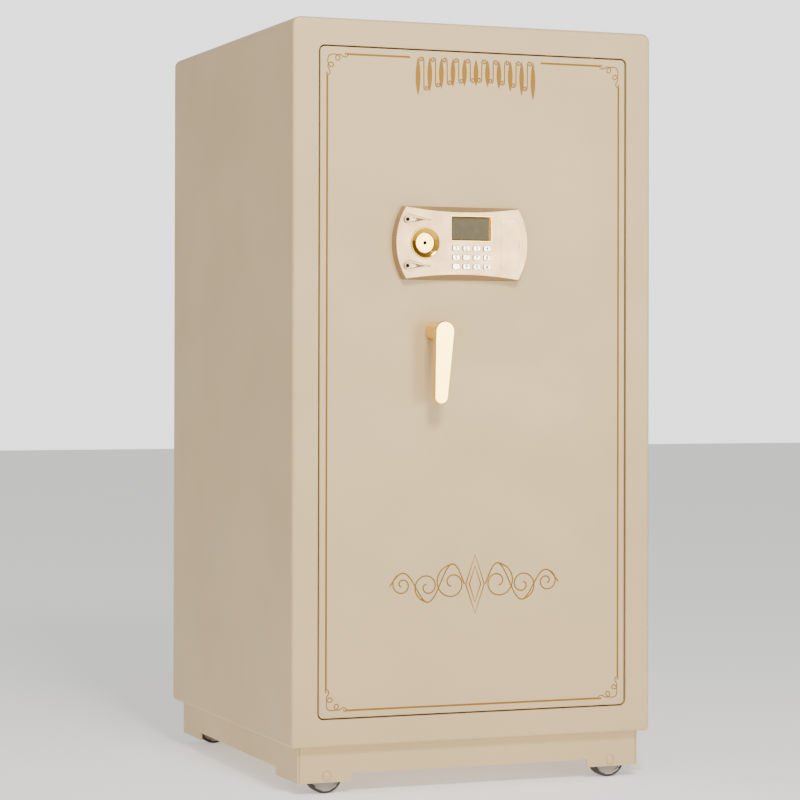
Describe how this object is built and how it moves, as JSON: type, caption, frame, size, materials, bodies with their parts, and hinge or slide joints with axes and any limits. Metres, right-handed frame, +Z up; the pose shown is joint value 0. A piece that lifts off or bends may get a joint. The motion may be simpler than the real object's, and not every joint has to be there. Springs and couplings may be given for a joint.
{
  "type": "safe",
  "caption": "Floor-standing steel cabinet safe with an inset hinged door, lever-driven bolts, electronic keypad panel, key lock and shelves, on a recessed plinth with hidden wheels.",
  "frame": {"origin": "on the floor, under the centre of the whole object's bounding box", "axes": "+X to the right of someone facing the door, +Y from the door into the safe, +Z up"},
  "size_m": [0.542, 0.611, 1.066],
  "materials": {
    "cabinet_paint": "satin powder coat, beige",
    "door_paint": "satin powder coat, beige",
    "inner_paint": "matt powder coat, warm grey",
    "filling": "cast fire-resisting filling",
    "bare_steel": "zinc plated",
    "bolt_steel": "polished nickel plate",
    "bronze": "plain bearing bronze",
    "gold_metal": "polished gold-tone plate",
    "rose_panel": "metallic rose-gold lacquer",
    "key_plastic": "champagne gold plated keys",
    "display_glass": "clear window over a grey display",
    "board": "green solder mask",
    "black_plastic": "moulded black",
    "cell_sleeve": "shrink sleeve on dry cells",
    "wheel_rubber": "dark tyre on a grey moulded hub"
  },
  "bodies": {
    "cabinet": {"outer_wrap": "cabinet_paint", "door_frame": "cabinet_paint", "back_plate": "cabinet_paint", "wall_filling": "filling", "inner_liner": "inner_paint", "anchor_sleeves": "bare_steel", "hinge_bushes": "bronze", "shelves": "inner_paint", "shelf_standards": "inner_paint", "shelf_clips": "bare_steel", "plinth_ends": "cabinet_paint", "plinth_sides": "cabinet_paint", "axle_bolts": "cabinet_paint", "axle_nuts": "bare_steel", "wheel_brackets": "bare_steel"},
    "door": {"door_plate": "door_paint", "door_pan": "inner_paint", "door_back_cover": "inner_paint", "cover_screws": "bare_steel", "hinge_blocks": "bare_steel", "hinge_pins": "bare_steel", "dead_bolts": "bolt_steel", "boltwork_guides": "bare_steel", "panel_fascia": "rose_panel", "display_bezel": "gold_metal", "display_glass": "display_glass", "circuit_board": "board", "battery_tray": "black_plastic", "battery_cells": "cell_sleeve", "panel_screws": "bare_steel", "lock_ring": "gold_metal", "lock_housing": "bare_steel", "solenoid_case": "bare_steel"},
    "handle": {"handle_lever": "gold_metal", "handle_spindle": "bare_steel", "drive_pinion": "bare_steel"},
    "bolt_carrier": {"bolt_carrier": "bare_steel", "lock_bolts": "bolt_steel"},
    "upper_rod": {"upper_rod": "bare_steel"},
    "lower_rod": {"lower_rod": "bare_steel"},
    "lock_plug": {"lock_plug": "gold_metal"},
    "deadlock_slide": {"deadlock_slide": "bare_steel"},
    "solenoid_plunger": {"solenoid_plunger": "bare_steel"},
    "battery_cover": {"battery_cover": "rose_panel"},
    "key_1_1": {"key_1_1": "key_plastic"},
    "key_1_2": {"key_1_2": "key_plastic"},
    "key_1_3": {"key_1_3": "key_plastic"},
    "key_1_4": {"key_1_4": "key_plastic"},
    "key_2_1": {"key_2_1": "key_plastic"},
    "key_2_2": {"key_2_2": "key_plastic"},
    "key_2_3": {"key_2_3": "key_plastic"},
    "key_2_4": {"key_2_4": "key_plastic"},
    "key_3_1": {"key_3_1": "key_plastic"},
    "key_3_2": {"key_3_2": "key_plastic"},
    "key_3_3": {"key_3_3": "key_plastic"},
    "key_3_4": {"key_3_4": "key_plastic"},
    "wheel_front_left": {"wheel_front_left": "wheel_rubber"},
    "wheel_front_right": {"wheel_front_right": "wheel_rubber"},
    "wheel_rear_left": {"wheel_rear_left": "wheel_rubber"},
    "wheel_rear_right": {"wheel_rear_right": "wheel_rubber"}
  },
  "joints": [
    {"name": "door_hinge", "type": "hinge", "parent": "cabinet", "child": "door", "pos_m": [0.1845, -0.2485, 0.566], "axis": [0, 0, 1], "range_deg": [0, 120]},
    {"name": "handle_turn", "type": "hinge", "parent": "door", "child": "handle", "pos_m": [-0.0627, -0.3055, 0.636], "axis": [0, 1, 0], "range_deg": [0, 90]},
    {"name": "bolt_carrier_slide", "type": "slide", "parent": "door", "child": "bolt_carrier", "axis": [-1, 0, 0], "range_m": [0, 0.02121]},
    {"name": "upper_rod_slide", "type": "slide", "parent": "door", "child": "upper_rod", "axis": [0, 0, 1], "range_m": [0, 0.02121]},
    {"name": "lower_rod_slide", "type": "slide", "parent": "door", "child": "lower_rod", "axis": [0, 0, -1], "range_m": [0, 0.02121]},
    {"name": "key_lock_turn", "type": "hinge", "parent": "door", "child": "lock_plug", "pos_m": [-0.0815, -0.2775, 0.7587], "axis": [0, 1, 0], "range_deg": [0, 90]},
    {"name": "deadlock_slide_travel", "type": "slide", "parent": "door", "child": "deadlock_slide", "axis": [1, 0, 0], "range_m": [0, 0.01]},
    {"name": "solenoid_plunger_travel", "type": "slide", "parent": "door", "child": "solenoid_plunger", "axis": [-1, 0, 0], "range_m": [0, 0.01]},
    {"name": "battery_cover_lift", "type": "slide", "parent": "door", "child": "battery_cover", "axis": [0, -1, 0], "range_m": [0, 0.045]},
    {"name": "key_1_1_press", "type": "slide", "parent": "door", "child": "key_1_1", "axis": [0, 1, 0], "range_m": [0, 0.0012], "stiffness_N_per_m": 400, "springref_m": -0.0005},
    {"name": "key_1_2_press", "type": "slide", "parent": "door", "child": "key_1_2", "axis": [0, 1, 0], "range_m": [0, 0.0012], "stiffness_N_per_m": 400, "springref_m": -0.0005},
    {"name": "key_1_3_press", "type": "slide", "parent": "door", "child": "key_1_3", "axis": [0, 1, 0], "range_m": [0, 0.0012], "stiffness_N_per_m": 400, "springref_m": -0.0005},
    {"name": "key_1_4_press", "type": "slide", "parent": "door", "child": "key_1_4", "axis": [0, 1, 0], "range_m": [0, 0.0012], "stiffness_N_per_m": 400, "springref_m": -0.0005},
    {"name": "key_2_1_press", "type": "slide", "parent": "door", "child": "key_2_1", "axis": [0, 1, 0], "range_m": [0, 0.0012], "stiffness_N_per_m": 400, "springref_m": -0.0005},
    {"name": "key_2_2_press", "type": "slide", "parent": "door", "child": "key_2_2", "axis": [0, 1, 0], "range_m": [0, 0.0012], "stiffness_N_per_m": 400, "springref_m": -0.0005},
    {"name": "key_2_3_press", "type": "slide", "parent": "door", "child": "key_2_3", "axis": [0, 1, 0], "range_m": [0, 0.0012], "stiffness_N_per_m": 400, "springref_m": -0.0005},
    {"name": "key_2_4_press", "type": "slide", "parent": "door", "child": "key_2_4", "axis": [0, 1, 0], "range_m": [0, 0.0012], "stiffness_N_per_m": 400, "springref_m": -0.0005},
    {"name": "key_3_1_press", "type": "slide", "parent": "door", "child": "key_3_1", "axis": [0, 1, 0], "range_m": [0, 0.0012], "stiffness_N_per_m": 400, "springref_m": -0.0005},
    {"name": "key_3_2_press", "type": "slide", "parent": "door", "child": "key_3_2", "axis": [0, 1, 0], "range_m": [0, 0.0012], "stiffness_N_per_m": 400, "springref_m": -0.0005},
    {"name": "key_3_3_press", "type": "slide", "parent": "door", "child": "key_3_3", "axis": [0, 1, 0], "range_m": [0, 0.0012], "stiffness_N_per_m": 400, "springref_m": -0.0005},
    {"name": "key_3_4_press", "type": "slide", "parent": "door", "child": "key_3_4", "axis": [0, 1, 0], "range_m": [0, 0.0012], "stiffness_N_per_m": 400, "springref_m": -0.0005},
    {"name": "wheel_front_left_spin", "type": "hinge", "parent": "cabinet", "child": "wheel_front_left", "pos_m": [-0.2152, -0.2365, 0.025], "axis": [0, 1, 0], "continuous": true},
    {"name": "wheel_front_right_spin", "type": "hinge", "parent": "cabinet", "child": "wheel_front_right", "pos_m": [0.2152, -0.2365, 0.025], "axis": [0, 1, 0], "continuous": true},
    {"name": "wheel_rear_left_spin", "type": "hinge", "parent": "cabinet", "child": "wheel_rear_left", "pos_m": [-0.2152, 0.2775, 0.025], "axis": [0, 1, 0], "continuous": true},
    {"name": "wheel_rear_right_spin", "type": "hinge", "parent": "cabinet", "child": "wheel_rear_right", "pos_m": [0.2152, 0.2775, 0.025], "axis": [0, 1, 0], "continuous": true}
  ],
  "couplings": [
    {"joint": "bolt_carrier_slide", "follows": "handle_turn", "m_per_rad": 0.0135},
    {"joint": "upper_rod_slide", "follows": "handle_turn", "m_per_rad": 0.0135},
    {"joint": "lower_rod_slide", "follows": "handle_turn", "m_per_rad": 0.0135},
    {"joint": "deadlock_slide_travel", "follows": "key_lock_turn", "m_per_rad": 0.0063661}
  ]
}
